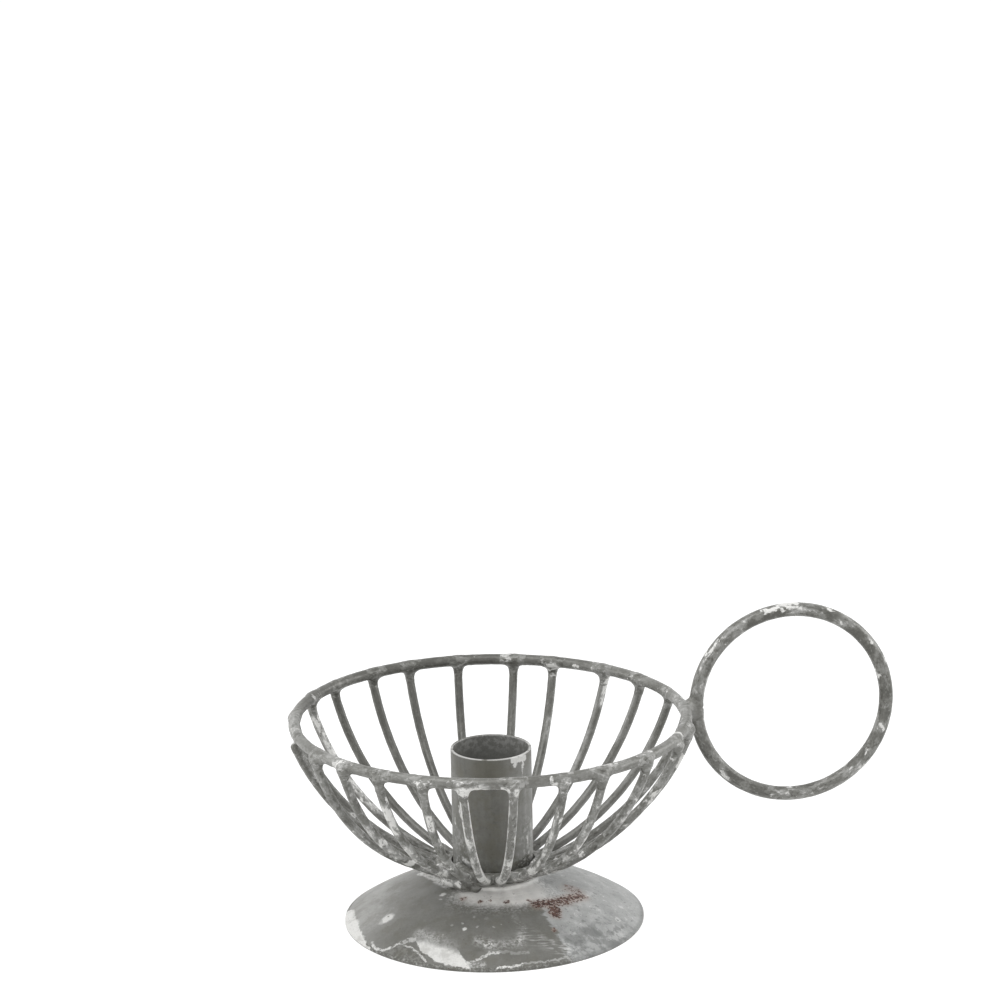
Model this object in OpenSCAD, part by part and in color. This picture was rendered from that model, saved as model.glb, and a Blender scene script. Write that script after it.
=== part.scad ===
// Chamberstick with a wire basket: a domed sheet foot, a hub cup with a candle socket in it,
// a basket of bent wire ribs under a round rim, and a ring handle for one finger.
// Everything is welded together, so nothing moves.
// The origin is on the candle's axis at the height of the table, +Z is up and +X points to the handle.

/* [Foot] */
// Outer diameter of the domed foot
foot_diameter = 89.4; // [80:0.2:110]
// Height of the flat seat on top of the dome
foot_height = 13.2; // [9:0.2:20]
// Thickness of the foot's sheet metal
foot_sheet = 1.2; // [0.8:0.1:2]
// Height of the upright outer edge of the foot
foot_edge = 0.6; // [0.3:0.1:1.5]

/* [Hub cup] */
// Wall thickness of the cup that the socket stands in
cup_wall = 1; // [0.8:0.1:1.5]
// Thickness of the cup's floor
cup_floor = 1; // [0.8:0.1:2]
// Outer height of the cup
cup_height = 5.3; // [5:0.1:9]
// Gap all round between the socket tube and the cup's wall
cup_gap = 0.5; // [0.3:0.1:1]

/* [Candle socket] */
// Diameter of the candle that the socket takes
candle_diameter = 22; // [20:0.5:25]
// Gap all round between the candle and the socket
candle_clearance = 0.2; // [0.1:0.05:0.4]
// Wall thickness of the socket tube
socket_wall = 0.8; // [0.6:0.1:1.2]
// Length of the socket tube from the cup's floor to its mouth
socket_length = 39.5; // [30:0.5:45]

/* [Rim] */
// Outer diameter of the rim
rim_diameter = 119.2; // [110:0.2:140]
// Thickness of the rim's wire
rim_wire = 3.2; // [2.8:0.1:4]
// Height of the rim wire's centre above the table
rim_height = 62.4; // [55:0.2:70]

/* [Ribs] */
// Number of ribs in the basket
rib_count = 24; // [16:1:26]
// Thickness of the ribs' wire
rib_wire = 2.5; // [2:0.1:2.7]
// Lean of a rib from upright where it leaves the rim, degrees
rib_top_lean = 18; // [12:1:24]
// Height of a rib's centre above the foot of the cup, where it meets the cup's wall
rib_foot_rise = 3.6; // [2:0.1:3.8]
// How far the rim's weld melts a rib's end into the rim
rib_bite = 0.8; // [0.4:0.1:1.2]

/* [Ring handle] */
// Outer diameter of the ring
handle_diameter = 61.6; // [50:0.2:70]
// Thickness of the ring's wire
handle_wire = 4; // [3:0.1:5]
// How far the ring's centre lies below the rim's
handle_drop = 0.5; // [0:0.1:3]
// How far the ring is pressed into the rim where they touch
handle_bite = 0.3; // [0.2:0.1:0.6]
// Gap between the two ends of the ring's wire at the rim
handle_gap = 1.6; // [0.8:0.1:3]

/* [Welds] */
// Hollow radius of the weld in the corners between a rib and the rim
web_radius = 1.8; // [1:0.1:2.2]
// Thickness of those welds
web_thickness = 1.6; // [1:0.1:1.8]
// Diameter of the weld bead between the rim and the ring handle
bead_diameter = 5.6; // [5:0.1:7]
// Height of the hollow weld round the foot of the cup
collar_height = 1.3; // [0.8:0.1:1.6]
// Height of the weld round the foot of the socket tube, inside the cup
seat_weld = 1.2; // [0.6:0.1:2]

/* [Hidden] */
// Shift of each rib from its even place, in whole degrees: the basket was set up by eye
rib_shifts = [1, 2, 2, 1, 3, 1, 3, 3, 1, 1, 0, 2, 7, 9, 7, 5, 3, 0, -1, -2, -5, -3, 0, -1];

bore_radius = candle_diameter / 2 + candle_clearance;
socket_radius = bore_radius + socket_wall;
cup_bore = socket_radius + cup_gap;
cup_radius = cup_bore + cup_wall;
cup_inside = foot_height + cup_floor;

// The dome is part of a sphere that passes the edge of the flat seat and the top of the outer edge
foot_radius = foot_diameter / 2;
dome_centre = (pow(cup_radius, 2) + pow(foot_height, 2) - pow(foot_radius, 2) - pow(foot_edge, 2))
    / (2 * (foot_height - foot_edge));
dome_radius = sqrt(pow(cup_radius, 2) + pow(foot_height - dome_centre, 2));

rim_radius = (rim_diameter - rim_wire) / 2;
handle_radius = (handle_diameter - handle_wire) / 2;
handle_reach = rim_diameter / 2 + handle_diameter / 2 - handle_bite;
handle_height = rim_height - handle_drop;
// Half the angle at the ring's centre that the gap between the wire's ends takes
handle_gap_half = asin(handle_gap / 2 / handle_radius);

// A rib's end lies half way between below and outside the rim's wire
rib_end_offset = ((rim_wire + rib_wire) / 2 - rib_bite) * sin(45);
rib_top_radius = rim_radius + rib_end_offset;
rib_top_height = rim_height - rib_end_offset;
rib_foot_height = foot_height + rib_foot_rise;

// A rib is one round bend, and its radius follows from its lean at the rim and from where its ends lie
rib_run = rib_top_radius - cup_radius;
rib_fall = rib_top_height - rib_foot_height;
rib_foot_lean = 2 * atan(rib_run / rib_fall) - rib_top_lean;
rib_bend = norm([rib_run, rib_fall]) / (2 * sin((rib_foot_lean - rib_top_lean) / 2));
rib_centre = [rib_top_radius - rib_bend * cos(rib_top_lean), rib_top_height + rib_bend * sin(rib_top_lean)];
// Extra angle that carries a rib on into the cup's wall before it is cut to fit
rib_overrun = asin(rib_wire / rib_bend);

// Lifts the collar's hollow so that the weld meets the cup's wall at an angle and not as a feather edge
collar_lift = collar_height / 4;

wire_detail = 64;
cove_detail = 96;
turn_detail = 360;
bend_detail = 720;
over = 1;
foot_colour = [0.56, 0.57, 0.56];
wire_colour = [0.45, 0.46, 0.44];
socket_colour = [0.40, 0.41, 0.38];
weld_colour = [0.62, 0.63, 0.61];

function two_digits(n) = str(n < 10 ? "0" : "", n);
function rib_name(i) = str("rib_", two_digits(i + 1));
function rib_angle(i) = i * 360 / rib_count + rib_shifts[i % len(rib_shifts)];

// A ring of round wire about the Z axis
module wire_ring(radius, wire, angle = 360) {
    rotate_extrude(angle = angle, $fn = turn_detail)
        translate([radius, 0])
            circle(d = wire, $fn = wire_detail);
}

module rim_shape() {
    translate([0, 0, rim_height])
        wire_ring(rim_radius, rim_wire);
}

// The ring handle stands upright, and the gap between its ends faces the rim
module ring_handle_shape() {
    translate([handle_reach, 0, handle_height])
        rotate([90, 0, 0])
            rotate([0, 0, handle_gap_half - 180])
                wire_ring(handle_radius, handle_wire, 360 - 2 * handle_gap_half);
}

// One rib's wire in the XZ plane, before its ends are cut to fit the rim and the cup
module rib_shape() {
    translate([rib_centre[0], 0, rib_centre[1]])
        rotate([90, 0, 0])
            rotate([0, 0, -rib_foot_lean - rib_overrun])
                rotate_extrude(angle = rib_foot_lean + rib_overrun - rib_top_lean, $fn = bend_detail)
                    translate([rib_bend, 0])
                        circle(d = rib_wire, $fn = wire_detail);
}

// Outline of the hollow corner welds at both sides of a rib, just under the rim
module web_outline() {
    half = rib_wire / 2 + web_radius;
    difference() {
        translate([-half, -web_radius])
            square([2 * half, web_radius + rib_end_offset / 2]);
        for (side = [-1, 1])
            translate([side * half, -web_radius])
                circle(r = web_radius, $fn = cove_detail);
    }
}

// The dome's space down to the given depth, flat on top
module dome(radius, top, depth = 0) {
    rotate_extrude($fn = turn_detail)
        intersection() {
            translate([0, dome_centre])
                circle(r = radius, $fn = bend_detail);
            translate([0, -depth])
                square([foot_radius, top + depth]);
        }
}

module foot() {
    color(foot_colour)
        difference() {
            dome(dome_radius, foot_height);
            dome(dome_radius - foot_sheet, foot_height - foot_sheet, over);
        }
}

// A hollow fillet of weld that fills the corner between the dome and the cup
module foot_weld() {
    color(weld_colour)
        difference() {
            translate([0, 0, foot_height - collar_height])
                cylinder(r = cup_radius + collar_height, h = 2 * collar_height, $fn = turn_detail);
            translate([0, 0, foot_height + collar_height + collar_lift])
                wire_ring(cup_radius + collar_height, 2 * norm([collar_height, collar_lift]));
            cylinder(r = cup_radius, h = rim_height, $fn = turn_detail);
            dome(dome_radius, foot_height);
        }
}

module hub_cup() {
    color(wire_colour)
        difference() {
            translate([0, 0, foot_height])
                cylinder(r = cup_radius, h = cup_height, $fn = turn_detail);
            translate([0, 0, cup_inside])
                cylinder(r = cup_bore, h = cup_height, $fn = turn_detail);
        }
}

module socket_weld() {
    color(weld_colour)
        translate([0, 0, cup_inside])
            difference() {
                cylinder(r = cup_bore, h = seat_weld, $fn = turn_detail);
                translate([0, 0, -over])
                    cylinder(r = socket_radius, h = seat_weld + 2 * over, $fn = turn_detail);
            }
}

// The tube's mouth is rounded over the thickness of its wall
module candle_socket() {
    color(socket_colour)
        translate([0, 0, cup_inside])
            rotate_extrude($fn = turn_detail)
                translate([bore_radius, 0]) {
                    square([socket_wall, socket_length - socket_wall / 2]);
                    translate([socket_wall / 2, socket_length - socket_wall / 2])
                        circle(d = socket_wall, $fn = wire_detail);
                }
}

module rim() {
    color(wire_colour)
        rim_shape();
}

module rim_welds() {
    color(weld_colour)
        for (i = [0 : rib_count - 1])
            rotate([0, 0, rib_angle(i)])
                difference() {
                    translate([rib_top_radius, 0, rib_top_height])
                        rotate([0, rib_top_lean, 0])
                            translate([-rib_end_offset * 0.7, 0, 0])
                                rotate([90, 0, 90])
                                    linear_extrude(height = web_thickness, center = true)
                                        web_outline();
                    rim_shape();
                    rib_shape();
                }
}

module ring_handle() {
    color(wire_colour)
        difference() {
            ring_handle_shape();
            rim_shape();
        }
}

module handle_weld() {
    color(weld_colour)
        difference() {
            translate([rim_diameter / 2 + handle_wire / 4, 0, handle_height])
                sphere(d = bead_diameter, $fn = turn_detail);
            rim_shape();
            ring_handle_shape();
            rotate([0, 0, rib_angle(0)])
                rib_shape();
        }
}

// One rib, its top cut to the rim and the ring handle and its foot to the cup's wall
module rib(i) {
    color(wire_colour)
        difference() {
            rotate([0, 0, rib_angle(i)])
                rib_shape();
            rim_shape();
            if (i == 0) {
                ring_handle_shape();
            }
            cylinder(r = cup_radius, h = rim_height, $fn = turn_detail);
        }
}

foot();
foot_weld();
hub_cup();
socket_weld();
candle_socket();
rim();
rim_welds();
ring_handle();
handle_weld();
for (i = [0 : rib_count - 1])
    rib(i);
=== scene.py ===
import math

import bpy
import numpy as np
from mathutils import Matrix, Vector, noise


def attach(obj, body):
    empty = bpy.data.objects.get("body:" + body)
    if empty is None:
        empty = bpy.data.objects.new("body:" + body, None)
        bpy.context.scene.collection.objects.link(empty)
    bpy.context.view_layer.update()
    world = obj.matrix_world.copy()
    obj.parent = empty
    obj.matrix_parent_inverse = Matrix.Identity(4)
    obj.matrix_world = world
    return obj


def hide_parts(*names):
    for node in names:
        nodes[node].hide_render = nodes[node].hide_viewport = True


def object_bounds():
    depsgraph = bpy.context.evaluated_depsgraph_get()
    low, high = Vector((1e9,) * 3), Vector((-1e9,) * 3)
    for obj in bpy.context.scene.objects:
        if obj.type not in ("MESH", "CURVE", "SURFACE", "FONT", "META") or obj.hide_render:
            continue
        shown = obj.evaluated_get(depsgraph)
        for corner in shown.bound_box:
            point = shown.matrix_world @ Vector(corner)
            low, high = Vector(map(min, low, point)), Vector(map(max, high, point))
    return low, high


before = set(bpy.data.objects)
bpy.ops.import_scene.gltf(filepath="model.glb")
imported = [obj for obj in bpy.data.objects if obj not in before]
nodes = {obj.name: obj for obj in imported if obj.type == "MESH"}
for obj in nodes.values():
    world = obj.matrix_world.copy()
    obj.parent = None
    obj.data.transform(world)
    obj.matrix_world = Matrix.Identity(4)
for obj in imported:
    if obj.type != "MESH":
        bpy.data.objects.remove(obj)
cad_low, cad_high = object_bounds()

MILLIMETRES = 1000

# Sizes of the object that the wires and welds follow
RIM_RADIUS = 58.0
RIM_WIRE = 3.2
RIM_HEIGHT = 62.4
RIB_COUNT = 24
RIB_WIRE = 2.5
RIB_LEAN = math.radians(18)
RIB_BITE = 0.8
RIB_FOOT_HEIGHT = 16.8
CUP_RADIUS = 13.5
CUP_WALL = 1.0
CUP_TOP = 18.5
SEAT_HEIGHT = 13.2
DOME_CENTRE = -65.16
DOME_RADIUS = 79.51
TUBE_TOP = 53.7
TUBE_BORE = 11.2
HANDLE_CENTRE = np.array([90.6, 0.0, 62.0])
HANDLE_RADIUS = 28.8
HANDLE_WIRE = 4.0
HANDLE_GAP = 1.6
BEAD_RADIUS = 2.8
FOOT_RADIUS = 44.7

# A rib is one round bend from the rim to the cup
RIB_OFFSET = ((RIM_WIRE + RIB_WIRE) / 2 - RIB_BITE) * math.sin(math.radians(45))
RIB_TOP_RADIUS = RIM_RADIUS + RIB_OFFSET
RIB_TOP_HEIGHT = RIM_HEIGHT - RIB_OFFSET
RIB_RUN = RIB_TOP_RADIUS - CUP_RADIUS
RIB_FALL = RIB_TOP_HEIGHT - RIB_FOOT_HEIGHT
RIB_FOOT_LEAN = 2 * math.atan(RIB_RUN / RIB_FALL) - RIB_LEAN
RIB_BEND = math.hypot(RIB_RUN, RIB_FALL) / (2 * math.sin((RIB_FOOT_LEAN - RIB_LEAN) / 2))
BEND_RADIUS = RIB_TOP_RADIUS - RIB_BEND * math.cos(RIB_LEAN)
BEND_HEIGHT = RIB_TOP_HEIGHT + RIB_BEND * math.sin(RIB_LEAN)

# How each rib was bent by hand: turn and sway in degrees, then how far its middle and its top lie in
RIB_SET = {
    1: (0.3, 0.5, 0.0, 0.0),
    2: (-0.3, -0.5, 0.0, 0.0),
    3: (-0.2, 2.3, 0.0, 0.0),
    4: (0.0, 0.6, 0.0, 0.0),
    5: (0.5, -1.0, 0.0, 0.0),
    6: (-0.4, 0.1, 0.0, 0.0),
    7: (-0.8, 2.8, 0.0, 0.0),
    8: (-0.4, 0.9, 0.0, 0.0),
    9: (-0.8, 1.2, 0.0, 0.0),
    10: (-0.2, 2.0, 0.0, 0.0),
    11: (-1.1, 4.0, 0.0, 0.0),
    12: (0.0, 0.0, -0.5, 0.6),
    13: (0.0, 0.0, 0.9, 0.0),
    14: (0.0, 0.0, -1.0, 0.0),
    15: (0.0, 0.0, -0.5, 0.0),
    16: (-0.2, 0.0, 0.0, 0.0),
    17: (0.5, 0.2, 0.0, 0.0),
    18: (0.0, 1.0, 0.0, 0.0),
    19: (0.0, -0.3, 0.0, 0.0),
    20: (0.1, 0.0, 0.0, 0.0),
    21: (0.2, 0.7, 0.0, 0.0),
    22: (0.0, -2.0, 0.5, 0.0),
    23: (0.0, 0.0, 1.4, 0.0),
    24: (0.0, 0.0, 0.5, 0.0),
}
# Share of a rib's sway that the cup takes back at its foot
FOOT_HOLD = 0.5
# How much higher the lower ends of some ribs stand on the cup
RIB_LIFT = {1: -0.6, 14: 0.4, 15: 0.8, 16: 0.8, 17: 0.5, 20: 0.5, 21: 0.9, 22: 0.5, 23: 0.2}
# A rib whose cut end stands a little below its joint
RIB_CUT = {13: 1.5}
# The rim dips towards the handle by this much and rises as much at the far side
RIM_DIP = 0.34

# Wires
RIB_STEPS = 120
RIB_SIDES = 22
RING_SIDES = 30
RIM_STEPS = 900
HANDLE_STEPS = 460
SWELL = 1.03
WAVE = 0.05
GRAIN = 0.03

# Welds
NET_STEP = 0.27
WELD_REACH = 6.0
WELD_GROWTH = 0.08
WELD_SINK = 0.25
RIM_BLEND = 2.3
# Joints with more or less weld in their corners
RIM_BLENDS = {
    3: 2.9, 4: 2.9, 5: 2.9, 6: 2.9, 7: 2.7, 8: 2.9, 9: 2.7, 11: 3.0, 13: 0.9, 14: 3.6, 15: 2.9, 18: 2.6, 20: 1.9, 21: 3.0,
    22: 3.0,
}
HUB_BLEND = 1.1
BEAD_BLEND = 1.6
COLLAR_BLEND = 3.6
COLLAR_TOP = 14.9
COLLAR_REACH = 18.5
# Beads and runs of weld on the cup: from, to and how thick
HUB_BEADS = (
    ((-16.4, -5.4, 20.6), (-12.8, -8.8, 17.8), 1.7),
    ((-13.2, -8.4, 17.6), (-8.8, -12.0, 16.2), 2.0),
    ((-14.9, -4.5, 17.4), (-14.6, -4.9, 16.0), 2.1),
    ((-14.6, -7.2, 15.4), (-10.6, -10.8, 14.8), 1.7),
    ((-9.6, -11.4, 15.4), (-7.0, -13.0, 14.6), 1.5),
    ((-10.9, -7.3, 19.6), (-9.9, -8.8, 19.2), 1.2),
    ((-8.6, -10.4, 18.6), (-7.4, -11.2, 18.4), 0.9),
    ((10.6, -7.6, 18.6), (11.6, -6.0, 18.9), 1.3),
    ((12.6, -4.4, 18.8), (12.9, -3.0, 18.8), 1.1),
    ((6.9, -12.8, 16.4), (11.4, -8.9, 17.2), 1.05),
    ((2.8, -13.8, 17.4), (8.4, -11.1, 17.9), 0.65),
    ((9.7, -10.9, 17.6), (9.9, -10.6, 17.6), 1.1),
    ((-5.2, -14.1, 17.3), (-4.7, -14.5, 16.5), 1.25),
    ((0.2, -14.8, 17.0), (0.3, -15.0, 16.3), 1.15),
)
HUB_REACH = 21.5
HUB_NEAR = 7.0
HUB_HEIGHT = 23.6
LUMP = 0.10

# Camera: where it stands, which way it looks and how long its lens is
CAMERA_PLACE = Vector((-0.1483, -1.1908, 0.4642))
CAMERA_TURN = math.radians(7.259)
CAMERA_PITCH = math.radians(15.55)
CAMERA_ROLL = math.radians(-1.183)
CAMERA_LENS = 154.64
CAMERA_SENSOR = 36

# Light: place, width and power of each lamp
WORLD_STRENGTH = 0.66
LAMPS = {
    "lamp_top": ((-0.30, -0.35, 1.15), 0.9, 6.5),
    "lamp_right": ((1.05, 0.10, 0.45), 0.7, 4.0),
    "lamp_left": ((-1.05, 0.15, 0.40), 0.7, 3.0),
}
FLOOR_HALF = 4.0
FLOOR_PALE = (0.8, 0.8, 0.79, 1)
FLOOR_GLOW = 0.70
FLOOR_SHADE = (0.45, 0.45, 0.45, 1)

# Colours of the paint from its darkest to its palest tone
TONES = {
    0.00: (0.086, 0.085, 0.075, 1),
    0.25: (0.152, 0.151, 0.137, 1),
    0.50: (0.236, 0.236, 0.223, 1),
    0.75: (0.408, 0.406, 0.394, 1),
    1.00: (0.725, 0.722, 0.702, 1),
}
COOL = (0.395, 0.412, 0.420, 1)
# Pale paint of the neck, paler still as painted light against the basket's shade
NECK_PAINT_AND_LIGHT = (0.88, 0.86, 0.83, 1)
OLIVE = (0.112, 0.106, 0.077, 1)
RUST = (0.098, 0.045, 0.034, 1)
RUST_CORE = (0.024, 0.014, 0.012, 1)
RUST_STAIN = (0.36, 0.262, 0.215, 1)


def unit(vectors):
    return vectors / np.linalg.norm(vectors, axis=-1, keepdims=True)


def uneven(points, size, shift):
    """Smooth noise from -1 to 1 at each point, in lumps of about the given size."""
    offset = Vector((shift, 2 * shift, 3 * shift))
    return np.array([noise.noise(Vector(point) / size + offset) for point in points])


def add_piece(name, shape, material, slot, *stands_for, pale=None):
    """A new piece of the object in the place of the CAD nodes that it stands for.

    Its shape is its points, its faces and the places of its points in the space of the paint.
    """
    points, faces, paint_places = shape
    mesh = bpy.data.meshes.new(name)
    mesh.from_pydata((points / MILLIMETRES).tolist(), [], faces)
    mesh.polygons.foreach_set("use_smooth", [True] * len(mesh.polygons))
    mesh.materials.append(material)
    mesh.attributes.new("paint_place", "FLOAT_VECTOR", "POINT").data.foreach_set("vector", paint_places.ravel())
    if pale is not None:
        mesh.attributes.new("pale", "FLOAT", "POINT").data.foreach_set("value", pale.ravel())
    piece = bpy.data.objects.new(name, mesh)
    bpy.context.scene.collection.objects.link(piece)
    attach(piece, "root")
    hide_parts(*stands_for)


def sweep(line, radius, side, sides, closed=False, seed=0):
    """An uneven round wire along a line. Side is a direction across it.

    The paint sees the wire straightened out, so that its streaks run along it.
    """
    ahead = np.roll(line, -1, axis=0) - np.roll(line, 1, axis=0) if closed else np.gradient(line, axis=0)
    ahead = unit(ahead)
    across = unit(side - (ahead @ side)[:, None] * ahead)
    other = np.cross(ahead, across)
    turns = np.linspace(0, 2 * math.pi, sides, endpoint=False)
    outward = np.cos(turns)[None, :, None] * across[:, None] + np.sin(turns)[None, :, None] * other[:, None]
    reach = radius * SWELL * np.ones((len(line), sides))
    if not closed:
        # The cut ends are rounded off over a few steps
        rounding = np.array([0.0, 0.55, 0.8, 0.93])
        reach[:4] *= rounding[:, None]
        reach[-4:] *= rounding[::-1, None]
    surface = (line[:, None] + outward * radius).reshape(-1, 3)
    bumps = WAVE * uneven(surface, 2.6, seed) + GRAIN * uneven(surface, 0.8, seed + 5)
    reach += bumps.reshape(reach.shape) * (reach > radius / 2)
    points = (line[:, None] + outward * reach[:, :, None]).reshape(-1, 3)
    faces = []
    for ring in range(len(line) - (0 if closed else 1)):
        here = ring * sides
        there = (ring + 1) % len(line) * sides
        for k in range(sides):
            after = (k + 1) % sides
            faces.append((here + k, here + after, there + after, there + k))
    run = np.cumsum(np.linalg.norm(np.diff(line, axis=0, prepend=line[:1]), axis=1)) + 37.0 * seed
    straight = np.stack(np.broadcast_arrays(run[:, None], radius * np.cos(turns), radius * np.sin(turns)), axis=2)
    return points, faces, straight.reshape(-1, 3)


def wire_marks(shares, sides, marks):
    """How much paler the points of a wire are painted.

    Each mark has where it starts and ends along the wire, its turn round it and half width in degrees, and its amount.
    """
    along = shares[:, None]
    turn = np.linspace(0, 360, sides, endpoint=False)
    pale = np.zeros((len(shares), sides))
    for start, end, middle, width, amount in marks:
        inside = ramp(along, start - 0.02, start + 0.02) * (1 - ramp(along, end - 0.02, end + 0.02))
        away = np.abs((turn - middle + 180) % 360 - 180)
        pale += amount * inside * (1 - ramp(away, 0.6 * width, 1.2 * width))
    return pale


def end_steps(count, length):
    """Shares along a wire, with the first and last steps close together for its rounded ends."""
    close = np.array([0.0, 0.02, 0.09, 0.22]) / length
    return np.concatenate([close, np.linspace(0.5 / length, 1 - 0.5 / length, count), 1 - close[::-1]])


def rim_height(azimuth):
    return RIM_HEIGHT - RIM_DIP * np.cos(azimuth)


def rib_azimuth(number):
    """Direction of a rib from the candle's axis, as its CAD solid stands."""
    mesh = nodes[f"rib_{number:02d}"].data
    places = np.empty(3 * len(mesh.vertices))
    mesh.vertices.foreach_get("co", places)
    middle = places.reshape(-1, 3).mean(axis=0)
    return math.atan2(middle[1], middle[0])


def rib_line(number):
    """Centre line of a rib from the rim down to the cup's wall, its shares and the direction across it."""
    turn, sway, hollow, tuck = RIB_SET[number]
    azimuth = rib_azimuth(number) + math.radians(turn)
    foot_lean = math.acos((CUP_RADIUS - CUP_WALL / 2 - BEND_RADIUS) / RIB_BEND)
    length = RIB_BEND * (foot_lean - RIB_LEAN)
    cut = RIB_CUT.get(number, 0.0) / length
    share = cut + (1 - cut) * end_steps(RIB_STEPS, length)
    lean = RIB_LEAN + (foot_lean - RIB_LEAN) * share
    radius = BEND_RADIUS + RIB_BEND * np.cos(lean)
    radius -= hollow * np.sin(math.pi * share) ** 1.5 + tuck * (1 - share) ** 3
    height = BEND_HEIGHT - RIB_BEND * np.sin(lean)
    drop = RIB_TOP_HEIGHT - height
    height += (rim_height(azimuth) - RIM_HEIGHT) * (1 - share) + RIB_LIFT.get(number, 0.0) * share ** 2.5
    aside = math.tan(math.radians(sway)) * drop * (1 - FOOT_HOLD * (drop / drop[-1]) ** 3)
    outward = np.array([math.cos(azimuth), math.sin(azimuth), 0])
    across = np.array([-math.sin(azimuth), math.cos(azimuth), 0])
    line = radius[:, None] * outward + aside[:, None] * across + height[:, None] * np.array([0, 0, 1])
    return line, share, across


def smooth_min(a, b, blend):
    """The lower of two distances, with the corner between the shapes filled in round."""
    near = np.maximum(blend - np.abs(a - b), 0) / blend
    return np.minimum(a, b) - near * near * blend / 4


def line_distance(points, line, radius):
    """Distance of each point from a wire of the given radius along a line."""
    nearest = np.full(len(points), np.inf)
    for start, end in zip(line[:-1], line[1:]):
        along = end - start
        share = np.clip((points - start) @ along / (along @ along), 0, 1)
        gap = points - start - share[:, None] * along
        nearest = np.minimum(nearest, np.einsum("ij,ij->i", gap, gap))
    return np.sqrt(nearest) - radius


def rim_distance(points):
    away = np.hypot(points[:, 0], points[:, 1]) - RIM_RADIUS
    height = rim_height(np.arctan2(points[:, 1], points[:, 0]))
    return np.hypot(away, points[:, 2] - height) - RIM_WIRE / 2


def handle_distance(points):
    away = np.hypot(points[:, 0] - HANDLE_CENTRE[0], points[:, 2] - HANDLE_CENTRE[2]) - HANDLE_RADIUS
    ring = np.hypot(away, points[:, 1]) - HANDLE_WIRE / 2
    gap = HANDLE_GAP / 2 - np.abs(points[:, 2] - HANDLE_CENTRE[2])
    return np.maximum(ring, np.where(points[:, 0] < HANDLE_CENTRE[0], gap, -np.inf))


def ramp(value, start, end):
    """0 before start and 1 after end, smooth in between."""
    share = np.clip((value - start) / (end - start), 0, 1)
    return share * share * (3 - 2 * share)


def net_grid(low, high):
    """Points of a regular grid between two corners, and the grid's counts."""
    axes = [np.arange(a, b + NET_STEP, NET_STEP) for a, b in zip(low, high)]
    points = np.stack(np.meshgrid(*axes, indexing="ij"), axis=-1)
    return points.reshape(-1, 3), points.shape[:3]


def net_surface(field, low):
    """Points and four-sided faces of the surface where a grid of distances passes 0."""
    counts = np.array(field.shape) - 1
    total = np.zeros((*counts, 3))
    hits = np.zeros(counts)
    quads = []
    for axis in range(3):
        first, second = [other for other in range(3) if other != axis]
        lower = np.moveaxis(field, axis, 0)[:-1]
        upper = np.moveaxis(field, axis, 0)[1:]
        crossed = (lower < 0) != (upper < 0)
        share = lower / np.where(crossed, lower - upper, 1)
        crossed = np.moveaxis(crossed, 0, axis)
        share = np.moveaxis(share, 0, axis)
        for u in (0, 1):
            for v in (0, 1):
                window = [slice(None)] * 3
                window[first] = slice(u, u + counts[first])
                window[second] = slice(v, v + counts[second])
                hit = crossed[tuple(window)]
                total[..., axis] += np.where(hit, share[tuple(window)], 0)
                total[..., first] += u * hit
                total[..., second] += v * hit
                hits += hit
        window = [slice(None)] * 3
        window[first] = slice(1, counts[first])
        window[second] = slice(1, counts[second])
        cells = np.argwhere(crossed[tuple(window)])
        rising = np.moveaxis(np.moveaxis(field, axis, 0)[:-1] < 0, 0, axis)[tuple(window)]
        rising = rising[tuple(cells.T)] != (axis == 1)
        for step_first, step_second in ((0, 0), (1, 0), (1, 1), (0, 1)):
            shifted = cells.copy()
            shifted[:, first] += step_first
            shifted[:, second] += step_second
            quads.append(shifted)
        corners = np.stack(quads[-4:], axis=1)
        corners[~rising] = corners[~rising][:, ::-1]
        quads = quads[:-4] + [corners]
    used = hits > 0
    index = np.full(counts, -1)
    index[used] = np.arange(used.sum())
    cells = np.argwhere(used)
    points = low + NET_STEP * (cells + total[used] / hits[used][:, None])
    corners = np.concatenate(quads)
    faces = index[corners[..., 0], corners[..., 1], corners[..., 2]]
    return points, faces


def lumpy(points, faces, seed):
    """Moves the points of a weld a little in and out, as it froze."""
    a, b, c = (points[faces[:, k]] for k in range(3))
    flat = np.cross(b - a, c - a)
    normals = np.zeros_like(points)
    for k in range(4):
        np.add.at(normals, faces[:, k], flat)
    shift = LUMP * uneven(points, 1.5, seed) + LUMP / 3 * uneven(points, 0.6, seed + 3)
    moved = points + unit(normals) * shift[:, None]
    return moved, faces, moved


def join(parts):
    """Joins several shapes to one."""
    points = np.concatenate([part[0] for part in parts])
    starts = np.cumsum([0] + [len(part[0]) for part in parts[:-1]])
    faces = np.concatenate([part[1] + start for part, start in zip(parts, starts)])
    return points, faces, points


def joint_weld(number, line):
    """The melted corner welds between one rib and the rim."""
    azimuth = math.atan2(line[0][1], line[0][0])
    on_rim = np.array([RIM_RADIUS * math.cos(azimuth), RIM_RADIUS * math.sin(azimuth), rim_height(azimuth)])
    joint = line[0] - 0.6 * (line[0] - on_rim)
    low, high = joint - WELD_REACH - 0.5, joint + WELD_REACH + 0.5
    points, counts = net_grid(low, high)
    rib = line_distance(points, line[:30:3], RIB_WIRE / 2 * SWELL)
    field = smooth_min(rim_distance(points), rib, RIM_BLENDS.get(number, RIM_BLEND))
    away = np.linalg.norm(points - joint, axis=1)
    field += WELD_SINK * ramp(away, WELD_REACH - 2, WELD_REACH) - WELD_GROWTH
    field = np.maximum(field, away - WELD_REACH)
    return lumpy(*net_surface(field.reshape(counts), low), 11 + number)


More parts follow.
